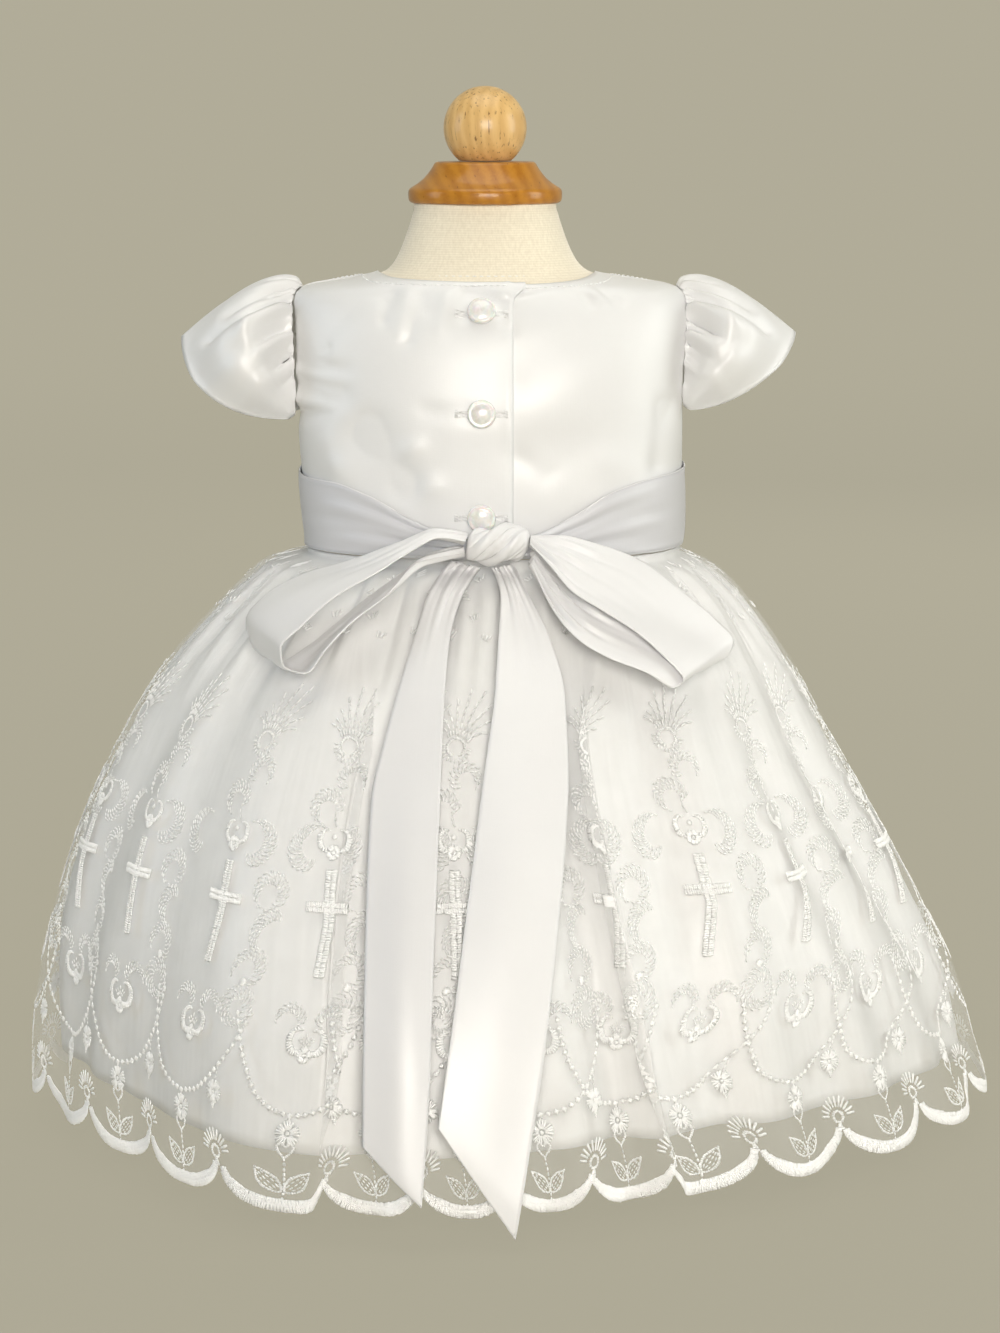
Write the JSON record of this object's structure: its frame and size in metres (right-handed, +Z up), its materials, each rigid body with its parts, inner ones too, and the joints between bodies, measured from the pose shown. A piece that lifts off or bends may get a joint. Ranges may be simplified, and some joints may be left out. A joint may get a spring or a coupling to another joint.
{
  "type": "christening gown on a dress form",
  "caption": "Short baby gown with cap sleeves, a scalloped sheer skirt over a plain lining, pearl buttons and a ribbon bow at the back, worn by a small limbless dress form.",
  "frame": {"origin": "on the floor, at the middle of the underside of the form's foot", "axes": "+X across the shoulders, +Y towards the gown's front, +Z up; the buttoned back with its bow faces -Y"},
  "size_m": [0.4254, 0.4247, 0.4529],
  "materials": {
    "white_satin": "white bridal satin, soft sheen",
    "lining_satin": "white lining satin",
    "white_organza": "sheer white organza with white embroidery",
    "ribbon_satin": "white satin ribbon",
    "pearl_plastic": "pearly, domed",
    "cream_jersey": "matt cream jersey over a padded form",
    "varnished_wood": "clear gloss varnish on pale hardwood",
    "foot_paint": "satin paint"
  },
  "bodies": {
    "root": {"bodice_front": "white_satin", "bodice_back_left": "white_satin", "bodice_back_right": "white_satin", "sleeve_left": "white_satin", "sleeve_right": "white_satin", "skirt_overlay": "white_organza", "skirt_lining": "lining_satin", "sash": "ribbon_satin", "bow_knot": "ribbon_satin", "bow_loop_left": "ribbon_satin", "bow_loop_right": "ribbon_satin", "tail_left": "ribbon_satin", "tail_right": "ribbon_satin", "button_top": "pearl_plastic", "button_middle": "pearl_plastic", "button_low": "pearl_plastic", "form_torso": "cream_jersey", "form_cap": "varnished_wood", "form_ball": "varnished_wood", "form_post": "foot_paint", "form_foot": "foot_paint"}
  },
  "joints": []
}
